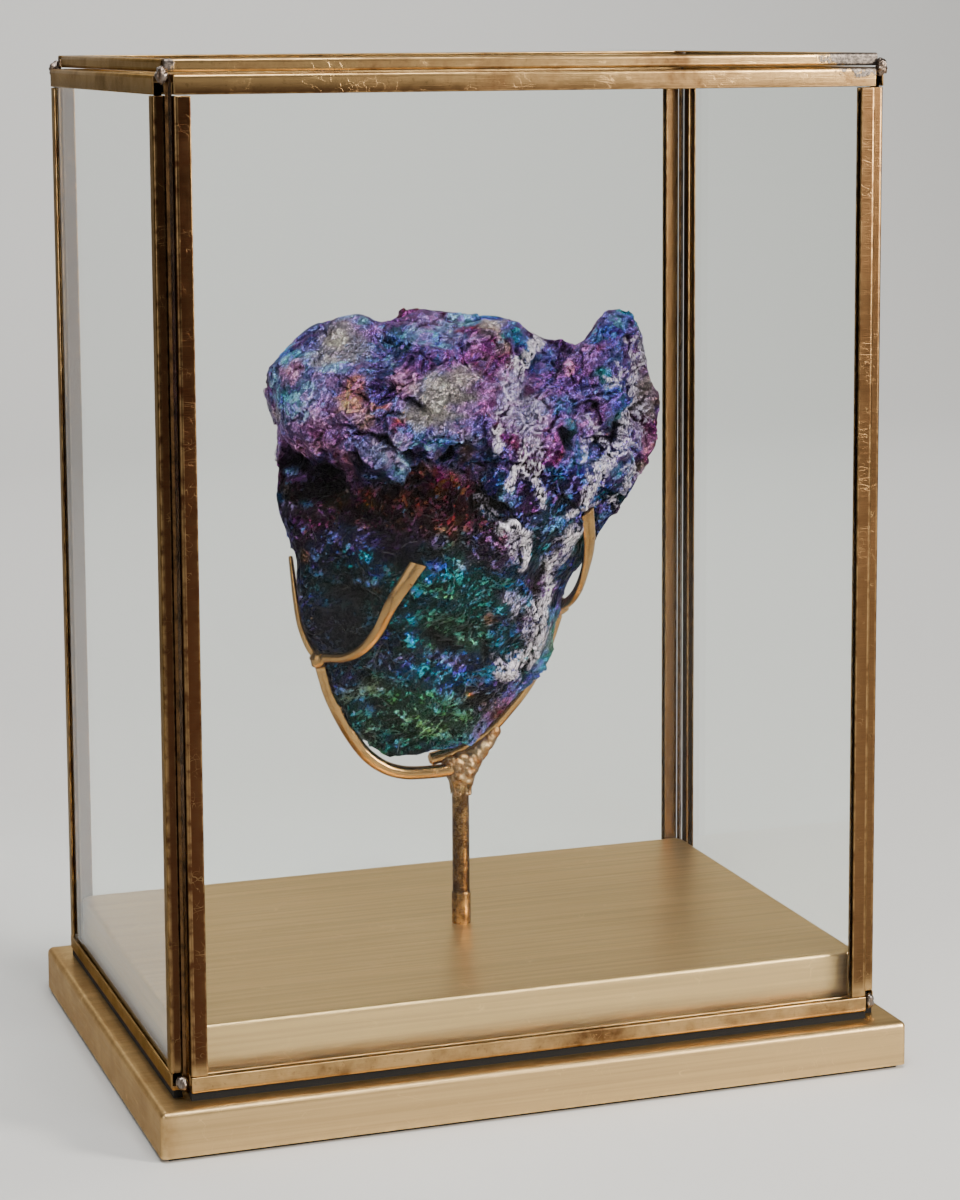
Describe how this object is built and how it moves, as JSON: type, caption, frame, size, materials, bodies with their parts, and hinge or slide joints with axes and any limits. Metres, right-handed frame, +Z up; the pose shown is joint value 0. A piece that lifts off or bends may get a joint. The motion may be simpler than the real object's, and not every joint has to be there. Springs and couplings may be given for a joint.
{
  "type": "mounted peacock ore specimen in a display case",
  "caption": "Rough iridescent ore specimen gripped by a pronged brass cradle on a post, on a two-tier brass base under a brass-edged glass cover.",
  "frame": {"origin": "middle of the base pad's underside", "axes": "+Z up, +X along the wide front from the viewer's left to right, the front faces -Y"},
  "size_m": [0.284, 0.2036, 0.3768],
  "materials": {
    "plinth": "brushed along the width",
    "raised_platform": "brushed along the width",
    "aged_brass_strip": "aged and scratched",
    "rod_brass": "hammered, lightly aged",
    "post_brass": "dark patina",
    "solder": "dull lumpy solder",
    "weld": "lumpy, silvery on top",
    "clear_glass": "clear, polished",
    "black_felt": "black felt",
    "peacock_ore": "iridescent tarnish on broken ore, with white veins"
  },
  "bodies": {
    "root": {"back_pane": "clear_glass", "back_strip_left": "aged_brass_strip", "back_strip_lower": "aged_brass_strip", "back_strip_right": "aged_brass_strip", "back_strip_upper": "aged_brass_strip", "base_pad": "black_felt", "felt_strip_back": "black_felt", "felt_strip_front": "black_felt", "felt_strip_left": "black_felt", "felt_strip_right": "black_felt", "front_pane": "clear_glass", "front_strip_left": "aged_brass_strip", "front_strip_lower": "aged_brass_strip", "front_strip_right": "aged_brass_strip", "front_strip_upper": "aged_brass_strip", "left_arm": "rod_brass", "left_back_prong": "rod_brass", "left_fork": "rod_brass", "left_front_prong": "rod_brass", "left_pane": "clear_glass", "left_strip_left": "aged_brass_strip", "left_strip_lower": "aged_brass_strip", "left_strip_right": "aged_brass_strip", "left_strip_upper": "aged_brass_strip", "peacock_ore": "peacock_ore", "plinth": "plinth", "post": "post_brass", "raised_platform": "raised_platform", "right_arm": "rod_brass", "right_back_prong": "rod_brass", "right_fork": "rod_brass", "right_front_prong": "rod_brass", "right_pane": "clear_glass", "right_strip_left": "aged_brass_strip", "right_strip_lower": "aged_brass_strip", "right_strip_right": "aged_brass_strip", "right_strip_upper": "aged_brass_strip", "solder_bottom_back_left": "solder", "solder_bottom_back_right": "solder", "solder_bottom_front_left": "solder", "solder_bottom_front_right": "solder", "solder_seam_back_left": "solder", "solder_seam_back_right": "solder", "solder_seam_front_left": "solder", "solder_seam_front_right": "solder", "solder_top_back_left": "solder", "solder_top_back_right": "solder", "solder_top_front_left": "solder", "solder_top_front_right": "solder", "top_pane": "clear_glass", "top_strip_left": "aged_brass_strip", "top_strip_lower": "aged_brass_strip", "top_strip_right": "aged_brass_strip", "top_strip_upper": "aged_brass_strip", "weld": "weld"}
  },
  "joints": []
}
